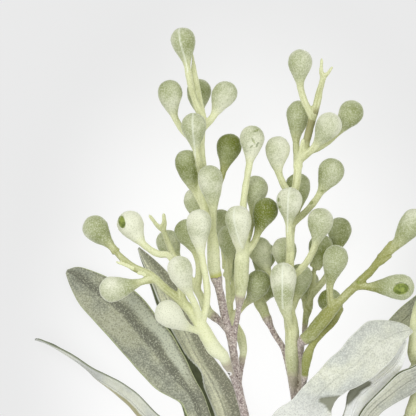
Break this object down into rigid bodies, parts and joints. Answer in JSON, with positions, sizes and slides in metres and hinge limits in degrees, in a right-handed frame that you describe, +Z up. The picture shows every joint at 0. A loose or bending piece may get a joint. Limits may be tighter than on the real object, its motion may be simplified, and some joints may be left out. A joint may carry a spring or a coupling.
{
  "type": "wattle bundle",
  "caption": "Tied bundle of flocked wattle foliage lying down: brown branching stems, green sprigs of teardrop pods and long grey-green leaves.",
  "frame": {"origin": "on the surface the bundle lies on, under the middle of its box", "axes": "+Y along the bundle from its cut feet to its heads, +Z up from the surface it lies on"},
  "size_m": [0.1732, 0.3246, 0.0448],
  "materials": {
    "bark": "mauve-brown flocking over a moulded stem",
    "flock": "pale sage flocking over yellow-green moulded plastic",
    "leaf_cloth": "matt grey-sage cloth with pale specks, dark olive underneath",
    "twine": "dry twisted jute"
  },
  "bodies": {
    "root": {"stem_left": "bark", "stem_middle": "bark", "stem_right": "bark", "sprig_tall_left": "flock", "sprig_upright": "flock", "sprig_behind_fork": "flock", "sprig_leaning_left": "flock", "sprig_low_left": "flock", "sprig_middle": "flock", "sprig_inner_back": "flock", "sprig_right_back": "flock", "sprig_leaning_right": "flock", "sprig_under_right": "flock", "sprig_far_upper": "flock", "sprig_far_low": "flock", "sprig_far_front": "flock", "leaf_broad_left": "leaf_cloth", "leaf_folded_left": "leaf_cloth", "leaf_edgewise_left": "leaf_cloth", "leaf_pale_right": "leaf_cloth", "leaf_dark_right": "leaf_cloth", "leaf_grey_right": "leaf_cloth", "leaf_slim_right": "leaf_cloth", "leaf_low_left": "leaf_cloth", "leaf_low_right": "leaf_cloth", "leaf_over_stems": "leaf_cloth", "leaf_foot_left": "leaf_cloth", "leaf_foot_right": "leaf_cloth", "twine_tie": "twine"}
  },
  "joints": []
}
